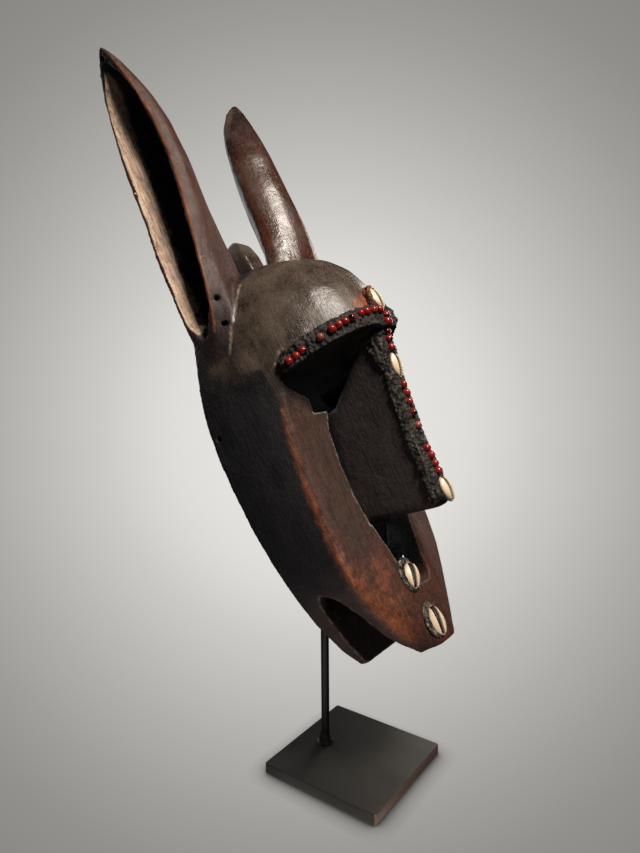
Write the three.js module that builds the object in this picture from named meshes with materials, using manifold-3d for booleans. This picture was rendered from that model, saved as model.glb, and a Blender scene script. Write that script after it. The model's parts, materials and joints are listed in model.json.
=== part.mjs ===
// Bamana hyena mask of the Kore society on its display stand.
//
// Frame: millimetres, +Z up, origin at the centre of the steel plate's underside.
// The mask looks towards -Y and leans back. It is modelled upright in a group of its own,
// with x across, y towards the open back and z up along the face, and the group leans.

import * as THREE from 'three';
import { mergeVertices } from 'three/addons/utils/BufferGeometryUtils.js';
import Module from 'manifold-3d';

const wasm = await Module();
wasm.setup();

const DEGREE = Math.PI / 180;
const GAP = 0.3;                    // clearance between pieces that touch

// Stand
const PLATE_SIDE = 120;
const PLATE_THICK = 10;
const PLATE_CORNER = 2;
const PLATE_EDGE = 1;
const ROD_DIAMETER = 8;
const ROD_Y = 33;                   // the rod stands behind the middle of the plate
const ROD_BEND_Z = 262;             // where the rod turns to follow the mask's lean
const ROD_BEND_REACH = 14;          // length of the bend to either side of that point
const ROD_REST = 1.2;               // its end stops this far under the top of the mask's hollow
const WELD_RADIUS = 9;
const WELD_HEIGHT = 6;

// Mask as a whole
const LEAN = 30.6 * DEGREE;
const PIVOT_Z = 300;                // height of the mask group's origin above the table
const WALL = 12;

// Forehead: the front of a full, squarish ellipsoid over the brow
const DOME = { halfWidth: 97.6, halfDepth: 181, halfHeight: 128.5, y: 95, z: 70, planPower: 2.13, sidePower: 3.2 };
const DOME_WIDE = 36;               // facets around and from pole to pole
const DOME_TALL = 22;
const BROW_Z = 76;                  // underside of the overhanging brow at its two ends
const BROW_RISE = 6;                // and how much higher it is in the middle
const FAR_BROW = [                  // the brow's lower edge over the other eye is cut higher, as [x, z]
  [13, 82], [22, 86.5], [32, 88.5], [50, 89.5], [60, 88], [70, 83], [78, 74],
];

// Face: half widths and depths of the front edge and of the back rim, from chin to brow
const FACE_STATIONS = [
  { z: -178, edge: 21, edgeY: 6, rim: 19, rimY: 74 },
  { z: -174, edge: 27, edgeY: 5, rim: 21, rimY: 74 },
  { z: -166, edge: 35, edgeY: 5, rim: 29, rimY: 73.5 },
  { z: -152, edge: 46, edgeY: 4.5, rim: 41, rimY: 73 },
  { z: -137, edge: 56, edgeY: 4, rim: 50, rimY: 72.5 },
  { z: -120, edge: 66, edgeY: 3.5, rim: 60, rimY: 72 },
  { z: -103, edge: 73, edgeY: 3, rim: 67, rimY: 71.5 },
  { z: -83, edge: 77, edgeY: 2, rim: 75.5, rimY: 70 },
  { z: -60, edge: 78, edgeY: 0, rim: 82, rimY: 69 },
  { z: -22, edge: 78, edgeY: -3, rim: 90, rimY: 67 },
  { z: 12, edge: 78, edgeY: -5.5, rim: 94, rimY: 65.5 },
  { z: 40, edge: 78, edgeY: -10, rim: 95.5, rimY: 64 },
  { z: 63, edge: 78, edgeY: -16, rim: 95.5, rimY: 62 },
  { z: 78, edge: 77, edgeY: -25, rim: 95.5, rimY: 60 },
  { z: 92, edge: 70, edgeY: -24, rim: 89, rimY: 57 },
];
const EDGE_ROUND = 3;               // worn edge between front and flank
const MIDDLE_Y = -6.5;              // the front is flat between the inner parts of the cheeks
const MIDDLE_HALF = 30;

// Openings of the face
const VALLEY_Y = 12;                // floor beside the nose
const VALLEY_TOP = 41;
const MOUTH_TOP = -65;
const MOUTH_BOTTOM = -127;
const HOLLOW_FRONT_Y = 26;          // inside face behind the valley
const JAW_TOP = -95;                // free upper edge of the lower jaw inside the mask
const HOLLOW_HALF = 64;             // the hollow is an oval well between thick flanks
const HOLLOW_MIDDLE_Z = 40;
const HOLLOW_RISE = 58;

// Nose blade: its front ridge as [y, z], from tip to root
const NOSE_THICK = 22;
const NOSE_ROUND = 5;
const NOSE_RIDGE = [[-61, -75], [-64, -69], [-65, -20], [-72, 30], [-80, 72], [-84, 84]];

// Crest between the ears
const CREST_WIDTH = 24;
const CREST_ROUND = 4;
const CREST_SHOULDER_Z = 214;       // above this it is arched as seen from the front
const CREST_ARCH = 29;

// Ears: x and y of the rim's front and back corner, x of the inner side, and how far the
// front swells forward of the rim, from foot to tip
const EAR_STATIONS = [
  { z: 112, frontX: -89, frontY: 24, backX: -90, backY: 29, innerX: -74, swell: 16 },
  { z: 122, frontX: -91, frontY: 20, backX: -91, backY: 36, innerX: -60, swell: 16 },
  { z: 134, frontX: -91, frontY: 13, backX: -91, backY: 41, innerX: -50, swell: 13 },
  { z: 150, frontX: -91, frontY: 6, backX: -91, backY: 42.5, innerX: -38, swell: 8 },
  { z: 172, frontX: -91, frontY: 0, backX: -91, backY: 43, innerX: -28, swell: 3 },
  { z: 200, frontX: -91, frontY: -6, backX: -90, backY: 43, innerX: -24, swell: 0 },
  { z: 230, frontX: -89, frontY: -11, backX: -87, backY: 45, innerX: -33, swell: 0 },
  { z: 260, frontX: -86, frontY: -14, backX: -82, backY: 46, innerX: -38, swell: 0 },
  { z: 300, frontX: -82, frontY: -16.4, backX: -81, backY: 44, innerX: -39, swell: 0 },
  { z: 340, frontX: -82, frontY: -16.5, backX: -81, backY: 40, innerX: -42, swell: 0 },
  { z: 370, frontX: -84, frontY: -14, backX: -81, backY: 35, innerX: -47, swell: 0 },
  { z: 395, frontX: -86.5, frontY: -10.5, backX: -82.5, backY: 28, innerX: -57, swell: 0 },
  { z: 415, frontX: -88.5, frontY: -6.5, backX: -85, backY: 18, innerX: -70, swell: 0 },
  { z: 427, frontX: -89.5, frontY: -3, backX: -87.5, backY: 8, innerX: -81, swell: 0 },
  { z: 431, frontX: -90, frontY: -1, backX: -89, backY: 4, innerX: -86, swell: 0 },
];
const EAR_SPAN = 1.84;              // the rim's share of the ear's half depth, front to back
const EAR_DEPTH = 44;               // depth that the hollow's size is taken from
const EAR_SCOOP_BOTTOM = 135;
const EAR_SCOOP_TOP = 416;

// Small drilled holes for cords, on the near side
const HOLE_DIAMETER = 5;
const HOLES = [
  { at: [-81.5, 18, 161.5], along: [7, 38, 5], length: 70 },
  { at: [-81.5, 21, 142], along: [7, 34, 12], length: 70 },
  { at: [-86, 4, 422], along: [1, 0, -0.2], length: 24 },
  { at: [-88, 56, 53], along: [1, 0.15, 0], length: 30 },
];

// Wax over the brow and down the nose, and under two shells of the muzzle
const BROW_WAX_THICK = 4.5;
const NOSE_WAX_THICK = 3.2;
const WAX_SIDE = 1.5;               // the nose wax laps over the sides this thick
const NOSE_WAX_ROUND = 7.5;
const BROW_WAX_END_Y = -24;
const NOSE_WAX_TOP = 77;
const NOSE_WAX_BOTTOM = -72;
const PAD = { halfWidth: 14, halfHeight: 17.5, rise: 5 };

// Red seeds in a row over the eyes and down the nose, some of them lost
const SEED_RADIUS = 3.1;
const SEED_SIDES = 6;
const BROW_SEED_LIFT = 5.2;         // middle of a seed over the wood
const NOSE_SEED_LIFT = 4.4;
const BROW_ROW = { endX: 76, endZ: 78, middleZ: 93, power: 2.2 };
const NEAR_BROW_SEEDS = [-77.3, -74.2, -70.7, -61, -53, -48.2, -43, -37.5, -29, -22.4, -14.7, -6.2];
const FAR_BROW_SEEDS = [
  { x: 46, z: 95 }, { x: 52.5, z: 94.5 }, { x: 58.5, z: 93.5 }, { x: 64, z: 91.5 }, { x: 71.5, z: 87 },
];
const ROOT_SEEDS = [{ x: 0, z: 87.5 }, { x: -3, z: 81 }];
const NOSE_SEEDS = [74.8, 68.6, 60.9, 28, 20.5, 13, 3.5, -8, -28, -35, -42.5, -49.3];
const NOSE_SEED_X = -1;

// Cowrie shells: length, turn about the line of sight, tip with the surface, and lift over the wood
const COWRIE = { width: 15, height: 10, back: 2.2, taper: 0.16 };
const SLIT = { width: 1.6, depth: 3, share: 0.72 };
const COWRIES = [
  { name: 'forehead', x: 3, z: 106, length: 22, turn: 0, tip: -5 * DEGREE, lift: 5 },
  { name: 'nose', x: 0, z: 46, length: 23, turn: 0, tip: 10.8 * DEGREE, lift: 4.4 },
  { name: 'nose_tip', x: 0, z: -65, length: 23, turn: 0, tip: 1.2 * DEGREE, lift: 4.6 },
  { name: 'muzzle', x: -13, z: -117.5, length: 23, turn: -16 * DEGREE, tip: 0, lift: 3.8 },
  { name: 'chin', x: -9, z: -159, length: 26, turn: 5 * DEGREE, tip: 0, lift: 3.8 },
];

// Solids from geometries and back

function toSolid(geometry) {
  geometry.deleteAttribute('normal');
  geometry.deleteAttribute('uv');
  const merged = mergeVertices(geometry, 1e-4);
  return new wasm.Manifold(new wasm.Mesh({
    numProp: 3,
    vertProperties: new Float32Array(merged.attributes.position.array),
    triVerts: new Uint32Array(merged.index.array),
  }));
}

function toGeometry(solid) {
  const { vertProperties, triVerts } = solid.getMesh();
  const geometry = new THREE.BufferGeometry();
  geometry.setAttribute('position', new THREE.BufferAttribute(vertProperties, 3));
  geometry.setIndex(new THREE.BufferAttribute(triVerts, 1));
  geometry.computeVertexNormals();
  return geometry;
}

// A skin over rings of points, lowest ring first, each running anticlockwise seen from above.
function loft(rings) {
  const corners = rings[0].length;
  const levels = rings.length - 1;
  const middles = rings.map((ring) => ring.reduce(
    (sum, point) => sum.add(point), new THREE.Vector3()).divideScalar(corners));
  const geometry = new THREE.CylinderGeometry(1, 1, 1, corners, levels);
  const position = geometry.attributes.position;
  for (let i = 0; i < position.count; i++) {
    const turn = Math.atan2(position.getX(i), position.getZ(i)) / (2 * Math.PI);
    const corner = (Math.round(turn * corners) + corners) % corners;
    const level = Math.round((position.getY(i) + 0.5) * levels);
    const onAxis = Math.hypot(position.getX(i), position.getZ(i)) < 0.5;
    const target = onAxis ? middles[level] : rings[level][corner];
    position.setXYZ(i, target.x, target.y, target.z);
  }
  return toSolid(geometry);
}

// A side view, given as [y, z] points, cut through from one side of the mask to the other.
function sideCut(points, width, round = 0) {
  const outline = new THREE.Shape(points.map(([y, z]) => new THREE.Vector2(y, z)));
  const geometry = new THREE.ExtrudeGeometry(outline, {
    depth: width - 2 * round,
    bevelEnabled: round > 0,
    bevelThickness: round,
    bevelSize: round,
    bevelOffset: -round,
    bevelSegments: 2,
  });
  geometry.translate(0, 0, round - width / 2);
  const across = new THREE.Matrix4().makeBasis(
    new THREE.Vector3(0, 1, 0), new THREE.Vector3(0, 0, 1), new THREE.Vector3(1, 0, 0));
  return toSolid(geometry.applyMatrix4(across));
}

// A front view, given as [x, z] points, cut through from frontY back to backY.
function frontCut(points, frontY, backY) {
  const outline = new THREE.Shape(points.map(([x, z]) => new THREE.Vector2(x, z)));
  const geometry = new THREE.ExtrudeGeometry(outline, { depth: backY - frontY, bevelEnabled: false });
  geometry.rotateX(Math.PI / 2).translate(0, backY, 0);
  return toSolid(geometry);
}

// Values between stations, by height: smooth, or straight from one to the next.
function between(stations, Interpolant = THREE.CubicInterpolant) {
  const names = Object.keys(stations[0]).filter((name) => name !== 'z');
  const heights = stations.map((station) => station.z);
  const samples = stations.flatMap((station) => names.map((name) => station[name]));
  const curve = new Interpolant(heights, samples, names.length, []);
  return (z) => {
    const values = curve.evaluate(z);
    return Object.fromEntries(names.map((name, i) => [name, values[i]]));
  };
}

// The forehead's full form: a sphere squared off a little in plan and more in side view.
function domeForm(grow) {
  const geometry = new THREE.SphereGeometry(1, DOME_WIDE, DOME_TALL).rotateX(Math.PI / 2);
  const position = geometry.attributes.position;
  const point = new THREE.Vector3();
  for (let i = 0; i < position.count; i++) {
    point.fromBufferAttribute(position, i);
    const plan = Math.abs(point.x) ** DOME.planPower + Math.abs(point.y) ** DOME.planPower;
    const full = plan ** (DOME.sidePower / DOME.planPower) + Math.abs(point.z) ** DOME.sidePower;
    point.multiplyScalar(full ** (-1 / DOME.sidePower));
    position.setXYZ(i, point.x, point.y, point.z);
  }
  geometry.scale(DOME.halfWidth + grow, DOME.halfDepth + grow, DOME.halfHeight + grow);
  geometry.translate(0, DOME.y, DOME.z);
  return toSolid(geometry);
}

const faceAt = between(FACE_STATIONS);
const earAt = between(EAR_STATIONS);
const ridgeAt = between(NOSE_RIDGE.map(([y, z]) => ({ y, z })), THREE.LinearInterpolant);
const mirrorX = (solid) => solid.mirror([1, 0, 0]);
const steps = (from, to, count) => Array.from({ length: count + 1 }, (_, i) => from + (to - from) * i / count);

// A closed outline from the points of its right half, lowest first, and their mirror images
const bothSides = (right) => [...right, ...right.map(([x, z]) => [-x, z]).reverse()];

// Carved wood

// Outside of cheeks, muzzle and flanks
function faceRing(z) {
  const { edge, edgeY, rim, rimY } = faceAt(z);
  const middleHalf = Math.min(MIDDLE_HALF, 0.55 * edge);
  const flank = (t, bulge) => [THREE.MathUtils.lerp(edge, rim, t) + bulge, THREE.MathUtils.lerp(edgeY, rimY, t)];
  const side = [
    [middleHalf, MIDDLE_Y],
    [0.5 * (edge + middleHalf), 0.5 * (edgeY + MIDDLE_Y) - 0.5],
    [edge - EDGE_ROUND, edgeY],
    [edge, edgeY + EDGE_ROUND],
    flank(0.3, 2),
    flank(0.65, 2.4),
    [rim, rimY],
  ];
  return bothSides(side).map(([x, y]) => new THREE.Vector3(x, y, z));
}

// Inside of the mask, open at the back
function hollowRing(z) {
  const { edge, edgeY, rim, rimY } = faceAt(z);
  const side = [
    [24, HOLLOW_FRONT_Y],
    [38, Math.min(HOLLOW_FRONT_Y, edgeY + WALL)],
    [edge - WALL, edgeY + WALL],
    [rim - WALL, rimY],
    [rim - WALL + 2, rimY + 30],
  ];
  return bothSides(side).map(([x, y]) => new THREE.Vector3(x, y, z));
}

function headBody() {
  const face = loft(FACE_STATIONS.map((station) => faceRing(station.z)));
  const underBrow = sideCut([
    [-130, -100], [300, -100], [300, BROW_Z], [-25, BROW_Z], [-65, BROW_Z + BROW_RISE], [-130, BROW_Z + BROW_RISE],
  ], 300);
  const behindRim = sideCut([
    [43, 300], [43, 140], [47, 120], [54, 97], [60, 74], [64, 52], [66, 20], [68, -22],
    [71, -83], [73, -140], [74, -200], [400, -200], [400, 300],
  ], 400);
  const underFarBrow = frontCut([[13, 60], [78, 60], ...FAR_BROW.toReversed()], -130, -20);
  return face.add(domeForm(0).subtract(underBrow).subtract(underFarBrow)).subtract(behindRim);
}

function hollow() {
  const lower = loft(steps(JAW_TOP, BROW_Z + 14, 7).map(hollowRing));
  const upper = domeForm(-WALL).subtract(
    sideCut([[-130, -100], [300, -100], [300, BROW_Z - 8], [-130, BROW_Z - 8]], 300));
  const arch = steps(0, Math.PI / 2, 8).map((turn) => [
    HOLLOW_HALF * Math.cos(turn), HOLLOW_MIDDLE_Z + HOLLOW_RISE * Math.sin(turn)]);
  const well = frontCut(bothSides([[HOLLOW_HALF, JAW_TOP], ...arch]), -130, 200);
  return lower.add(upper).intersect(well);
}

// Eye openings under the brow, the valleys beside the nose and the hole of the mouth
function faceOpenings() {
  const eyes = frontCut(bothSides([[39, VALLEY_TOP], [36, 55], [75, 67], [76, BROW_Z]]), -130, 40);
  const valley = frontCut(
    bothSides([[31, MOUTH_TOP - 1], [35, -37], [33, -5], [27, 24], [16, VALLEY_TOP + 1]]), -60, VALLEY_Y);
  const mouth = frontCut(
    bothSides([[14, MOUTH_BOTTOM], [19, MOUTH_BOTTOM + 5], [19, -106], [22.5, -91], [28.5, -72], [30, MOUTH_TOP]]),
    -60, 48);
  return eyes.add(valley).add(mouth);
}

// The gap between muzzle and lower jaw, open at both sides and below
function jawSlit() {
  return sideCut([
    [43, -100], [31, -108], [23, -124], [20, -144], [16, -162], [12, -171], [12, -200],
    [100, -200], [100, -171.5], [64, -171], [60, -157], [57, -145], [54, -132], [51, -121], [49, -108],
  ], 300);
}

// Inside of the muzzle, between its side walls
function muzzleRing(z) {
  const { edge, edgeY } = faceAt(z);
  const half = edge - WALL;
  const corners = [[half, edgeY + WALL - 2], [half - 2, 52], [-half + 2, 52], [-half, edgeY + WALL - 2]];
  return corners.map(([x, y]) => new THREE.Vector3(x, y, z));
}

// The nose's blade, or the same form grown sideways and forward
function nose(side, forward, round = NOSE_ROUND) {
  const front = NOSE_RIDGE.map(([y, z]) => [y - forward, z]);
  const back = [
    [-60, 86], [-63, 81], [-9, VALLEY_TOP + 1], [20, VALLEY_TOP + 1], [20, MOUTH_TOP + 1], [8, -63], [-56, -76.5],
  ];
  return sideCut([...front, ...back], NOSE_THICK + 2 * side, round);
}

function crest() {
  const side = sideCut([
    [4, 190], [6, 218], [10, 233], [16, 240], [22, 243], [28, 240], [33, 231], [38, 214], [42, 190],
  ], CREST_WIDTH, CREST_ROUND);
  const arch = steps(0, Math.PI / 2, 5).map((turn) => [
    0.5 * CREST_WIDTH * Math.cos(turn), CREST_SHOULDER_Z + CREST_ARCH * Math.sin(turn)]);
  return side.intersect(frontCut(bothSides([[0.5 * CREST_WIDTH, 180], ...arch]), -20, 80));
}

// The ear's section: v runs from the front (-1) to the back (1), u from the rim to the inner side
const EAR_SECTION = [
  [0, -0.84], [0.23, -1], [0.51, -0.86], [0.74, -0.62], [0.93, -0.3], [1, 0],
  [0.9, 0.14], [0.74, 0.3], [0.4, 0.62], [0.14, 0.9], [0, 1],
];

function earRing(z) {
  const { frontX, frontY, backX, backY, innerX, swell } = earAt(z);
  const half = (backY - frontY) / EAR_SPAN;
  const middle = backY - half;
  return EAR_SECTION.map(([u, v]) => {
    const rimX = THREE.MathUtils.lerp(frontX, backX, (v + 1) / 2);
    const forward = u > 0 ? swell * THREE.MathUtils.clamp(-1.1 * v, 0, 1) : 0;
    return new THREE.Vector3(rimX + u * (innerX - rimX), middle + v * half - forward, z);
  });
}

// The ear's hollow: its section made smaller, and narrower still towards both ends
function scoopRing(z) {
  const { frontX, frontY, backX, backY, innerX } = earAt(z);
  const fromEnd = Math.min(1, (z - EAR_SCOOP_BOTTOM + 2) / 24, (EAR_SCOOP_TOP + 3 - z) / 30);
  const narrow = Math.sqrt(fromEnd);
  const half = (backY - frontY) / EAR_SPAN;
  const middle = backY - half;
  const rimMiddle = (backY + frontY) / 2;
  const depth = Math.min(innerX - frontX, EAR_DEPTH) * 0.76 * narrow;
  const ring = EAR_SECTION.map(([u, v]) => {
    const rimX = THREE.MathUtils.lerp(frontX, backX, (v + 1) / 2);
    const y = THREE.MathUtils.lerp(rimMiddle, middle + v * half, 0.84 * narrow);
    return new THREE.Vector3(rimX + u * depth, y, z);
  });
  const outside = [ring[ring.length - 1].clone(), ring[0].clone()];
  outside.forEach((point) => point.setX(point.x - 12));
  return [outside[1], ...ring, outside[0]];
}

function hole({ at, along, length }) {
  const geometry = new THREE.CylinderGeometry(HOLE_DIAMETER / 2, HOLE_DIAMETER / 2, length, 8);
  const direction = new THREE.Vector3(...along).normalize();
  geometry.applyQuaternion(new THREE.Quaternion().setFromUnitVectors(new THREE.Vector3(0, 1, 0), direction));
  return toSolid(geometry.translate(...at));
}

function carvedMask() {
  const ear = loft(EAR_STATIONS.map((station) => earRing(station.z)));
  const scoop = loft(steps(EAR_SCOOP_BOTTOM, EAR_SCOOP_TOP, 14).map(scoopRing));
  const drilled = HOLES.map(hole).reduce((sum, one) => sum.add(one), scoop);
  const muzzleInside = loft(steps(-171, JAW_TOP + 4, 5).map(muzzleRing));
  return headBody().add(crest()).add(ear).add(mirrorX(ear))
    .subtract(hollow()).subtract(faceOpenings()).subtract(muzzleInside).subtract(jawSlit())
    .add(nose(0, 0))
    .subtract(drilled).subtract(mirrorX(drilled));
}

// Wax, seeds and shells

// The y of the forehead's surface, grown outwards
function browY(x, z, grow) {
  const side = Math.abs((z - DOME.z) / (DOME.halfHeight + grow)) ** DOME.sidePower;
  const plan = (1 - side) ** (DOME.planPower / DOME.sidePower);
  const across = Math.abs(x / (DOME.halfWidth + grow)) ** DOME.planPower;
  return DOME.y - (DOME.halfDepth + grow) * (plan - across) ** (1 / DOME.planPower);
}

const browRowZ = (x) => BROW_ROW.middleZ
  - (BROW_ROW.middleZ - BROW_ROW.endZ) * Math.abs(x / BROW_ROW.endX) ** BROW_ROW.power;
const browSeeds = [...NEAR_BROW_SEEDS.map((x) => ({ x, z: browRowZ(x) })), ...ROOT_SEEDS, ...FAR_BROW_SEEDS]
  .map(({ x, z }) => [x, browY(x, z, BROW_SEED_LIFT), z]);
const noseSeeds = NOSE_SEEDS.map((z) => [NOSE_SEED_X, ridgeAt(z).y - NOSE_SEED_LIFT, z]);

function seed([x, y, z], grow = 0) {
  const geometry = new THREE.SphereGeometry(SEED_RADIUS + grow, SEED_SIDES, 4);
  return toSolid(geometry.translate(x, y, z));
}

function shellPlace({ name, x, z, lift }) {
  const surface = { forehead: () => browY(x, z, 0), nose: () => ridgeAt(z).y, nose_tip: () => ridgeAt(z).y };
  const y = (surface[name] ?? (() => MIDDLE_Y))() - lift;
  return new THREE.Matrix4().makeTranslation(x, y, z);
}

// A cowrie with its back cut off flat, lying with its slit to the front
function cowrie(shell, grow = 0) {
  const form = new THREE.SphereGeometry(1, 12, 6);
  const position = form.attributes.position;
  for (let i = 0; i < position.count; i++) {
    position.setX(i, position.getX(i) * (1 - COWRIE.taper * position.getY(i)));
  }
  form.scale(0.5 * COWRIE.width + grow, 0.5 * shell.length + grow, 0.5 * COWRIE.height + grow);
  const cutOff = new THREE.BoxGeometry(60, 60, 20).translate(0, 0, -10 - COWRIE.back - grow);
  const slit = new THREE.BoxGeometry(SLIT.width, SLIT.share * shell.length, 2 * SLIT.depth)
    .translate(0, 0, 0.5 * COWRIE.height);
  const whole = toSolid(form).subtract(toSolid(cutOff));
  const pose = shellPlace(shell)
    .multiply(new THREE.Matrix4().makeRotationX(Math.PI / 2 + shell.tip))
    .multiply(new THREE.Matrix4().makeRotationZ(shell.turn));
  return (grow > 0 ? whole : whole.subtract(toSolid(slit))).transform(pose.elements);
}

const without = (wax, pieces) => pieces.reduce((rest, piece) => rest.subtract(piece), wax);
const [foreheadShell, noseShell, noseTipShell, muzzleShell, chinShell] = COWRIES;

function browWax() {
  const middle = [[-14, 80], [-12, 78], [12, 78]];
  const farUpper = [[79.5, 81], [75, 90], [66, 96], [50, 100], [34, 99.5], [15, 98]];
  const nearUpper = [[-15, 98], [-34, 96.5], [-50, 94.5], [-66, 91], [-75, 87], [-79.5, 80]];
  const nearLower = [[-78, 72.5], [-66, 75], [-48, 78.5], [-28, 80]];
  const band = frontCut([...middle, ...FAR_BROW, ...farUpper, ...nearUpper, ...nearLower], -130, BROW_WAX_END_Y);
  const tongue = frontCut(steps(0, 2 * Math.PI, 12).slice(0, -1).map((turn) => [
    foreheadShell.x + 11 * Math.cos(turn), foreheadShell.z - 1 + 14 * Math.sin(turn)]), -130, BROW_WAX_END_Y);
  const layer = domeForm(BROW_WAX_THICK).subtract(domeForm(GAP));
  return without(layer.intersect(band.add(tongue)), [
    ...browSeeds.map((place) => seed(place, GAP)), cowrie(foreheadShell, GAP),
  ]);
}

function noseWax() {
  const back = [[-65, NOSE_WAX_TOP], [-67, 60], [-71, 42], [-67, 26], [-60, -20], [-58, -50], [-55, NOSE_WAX_BOTTOM]];
  const band = sideCut([[-110, NOSE_WAX_BOTTOM], [-110, NOSE_WAX_TOP], ...back], 2 * NOSE_THICK);
  const layer = nose(GAP + WAX_SIDE, NOSE_WAX_THICK, NOSE_WAX_ROUND).subtract(nose(GAP, GAP)).intersect(band);
  return without(layer, [
    ...noseSeeds.map((place) => seed(place, GAP)), cowrie(noseShell, GAP), cowrie(noseTipShell, GAP),
  ]);
}

// A low mound of wax around one shell on the flat of the muzzle
function pad(shell) {
  const mound = new THREE.SphereGeometry(1, 14, 8).scale(PAD.halfWidth, 2 * PAD.rise, PAD.halfHeight);
  mound.translate(shell.x, MIDDLE_Y + PAD.rise, shell.z);
  const behind = new THREE.BoxGeometry(60, 40, 60).translate(shell.x, MIDDLE_Y - GAP + 20, shell.z);
  return toSolid(mound).subtract(toSolid(behind)).subtract(cowrie(shell, GAP));
}

// Stand

function plate() {
  const half = PLATE_SIDE / 2 - PLATE_EDGE;
  const inner = half - PLATE_CORNER;
  const outline = new THREE.Shape();
  [[1, 1], [-1, 1], [-1, -1], [1, -1]].forEach(([x, y], i) => {
    outline.absarc(x * inner, y * inner, PLATE_CORNER, i * Math.PI / 2, (i + 1) * Math.PI / 2);
  });
  const geometry = new THREE.ExtrudeGeometry(outline, {
    depth: PLATE_THICK - 2 * PLATE_EDGE,
    bevelThickness: PLATE_EDGE,
    bevelSize: PLATE_EDGE,
    bevelSegments: 1,
    curveSegments: 2,
  });
  return toSolid(geometry.translate(0, 0, PLATE_EDGE));
}

// Upright from the plate, then bent to run up inside the mask, which hangs on its end
function rod() {
  const up = new THREE.Vector3(0, Math.sin(LEAN), Math.cos(LEAN));
  const foot = new THREE.Vector3(0, ROD_Y, PLATE_THICK + GAP);
  const bend = new THREE.Vector3(0, ROD_Y, ROD_BEND_Z);
  const bendInMask = up.dot(new THREE.Vector3(0, ROD_Y, ROD_BEND_Z - PIVOT_Z));
  const reach = HOLLOW_MIDDLE_Z + HOLLOW_RISE - ROD_REST - bendInMask;
  const before = bend.clone().setZ(ROD_BEND_Z - ROD_BEND_REACH);
  const after = bend.clone().addScaledVector(up, ROD_BEND_REACH);
  const path = new THREE.CurvePath();
  path.add(new THREE.LineCurve3(foot, before));
  path.add(new THREE.QuadraticBezierCurve3(before, bend, after));
  path.add(new THREE.LineCurve3(after, bend.clone().addScaledVector(up, reach)));
  const section = new THREE.Shape().absarc(0, 0, ROD_DIAMETER / 2, 0, 2 * Math.PI);
  return toSolid(new THREE.ExtrudeGeometry(section, { steps: 18, curveSegments: 5, extrudePath: path }));
}

function weld() {
  const inner = ROD_DIAMETER / 2 + GAP;
  const profile = [
    [inner, 0], [WELD_RADIUS, 0], [0.8 * WELD_RADIUS, 0.4 * WELD_HEIGHT], [inner + 1, WELD_HEIGHT],
    [inner, WELD_HEIGHT], [inner, 0],
  ];
  const geometry = new THREE.LatheGeometry(profile.map(([x, y]) => new THREE.Vector2(x, y)), 12);
  return toSolid(geometry.rotateX(Math.PI / 2).translate(0, ROD_Y, PLATE_THICK + GAP));
}

// Finishes

const finish = (color, roughness, metalness = 0) => new THREE.MeshStandardMaterial({ color, roughness, metalness });
const wood = finish('#3a2a20', 0.5);
const wax = finish('#1d1916', 0.75);
const seedCoat = finish('#9c1f1b', 0.3);
const shellGloss = finish('#e6d6b4', 0.35);
const blackSteel = finish('#141313', 0.5, 0.6);
const plateSteel = finish('#2f2c2a', 0.45, 0.7);

const part = new THREE.Group();
const maskFrame = new THREE.Group();
maskFrame.position.set(0, 0, PIVOT_Z);
maskFrame.rotation.x = -LEAN;
part.add(maskFrame);

function place(group, name, solid, material) {
  const mesh = new THREE.Mesh(toGeometry(solid), material);
  mesh.name = name;
  group.add(mesh);
}

const numbered = (name, i) => `${name}_${String(i + 1).padStart(2, '0')}`;

place(maskFrame, 'carved_mask', carvedMask(), wood);
place(maskFrame, 'brow_wax', browWax(), wax);
place(maskFrame, 'nose_wax', noseWax(), wax);
place(maskFrame, 'muzzle_wax_pad', pad(muzzleShell), wax);
place(maskFrame, 'chin_wax_pad', pad(chinShell), wax);
browSeeds.forEach((at, i) => place(maskFrame, numbered('brow_seed', i), seed(at), seedCoat));
noseSeeds.forEach((at, i) => place(maskFrame, numbered('nose_seed', i), seed(at), seedCoat));
COWRIES.forEach((shell) => place(maskFrame, `${shell.name}_cowrie`, cowrie(shell), shellGloss));
place(part, 'rod', rod(), blackSteel);
place(part, 'weld_bead', weld(), blackSteel);
place(part, 'base_plate', plate(), plateSteel);
part.updateMatrixWorld(true);

export default part;
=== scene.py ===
import json
import math
import random

import bmesh
import bpy
import numpy as np
from mathutils import Matrix, Vector, noise
from mathutils.kdtree import KDTree

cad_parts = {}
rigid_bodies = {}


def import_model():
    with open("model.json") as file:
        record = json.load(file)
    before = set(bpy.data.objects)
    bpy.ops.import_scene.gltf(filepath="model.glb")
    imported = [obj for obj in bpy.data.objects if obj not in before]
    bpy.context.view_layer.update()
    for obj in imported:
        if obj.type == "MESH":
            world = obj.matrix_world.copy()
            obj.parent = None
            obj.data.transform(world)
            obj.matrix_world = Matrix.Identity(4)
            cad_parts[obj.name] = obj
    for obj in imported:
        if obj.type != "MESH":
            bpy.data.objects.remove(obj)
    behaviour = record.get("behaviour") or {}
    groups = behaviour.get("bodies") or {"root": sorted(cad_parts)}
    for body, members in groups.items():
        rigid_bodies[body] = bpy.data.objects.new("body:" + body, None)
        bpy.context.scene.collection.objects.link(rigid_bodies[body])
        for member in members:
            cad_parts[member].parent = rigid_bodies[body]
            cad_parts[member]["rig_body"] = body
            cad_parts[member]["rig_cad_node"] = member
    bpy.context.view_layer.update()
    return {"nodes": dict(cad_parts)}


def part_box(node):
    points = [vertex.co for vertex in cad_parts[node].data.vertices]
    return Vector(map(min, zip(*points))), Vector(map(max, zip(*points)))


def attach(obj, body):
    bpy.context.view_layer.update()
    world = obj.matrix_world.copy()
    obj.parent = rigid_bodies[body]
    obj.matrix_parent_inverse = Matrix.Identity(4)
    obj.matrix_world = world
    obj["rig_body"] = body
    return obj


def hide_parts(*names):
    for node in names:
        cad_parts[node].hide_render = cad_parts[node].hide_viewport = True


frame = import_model()


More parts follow.
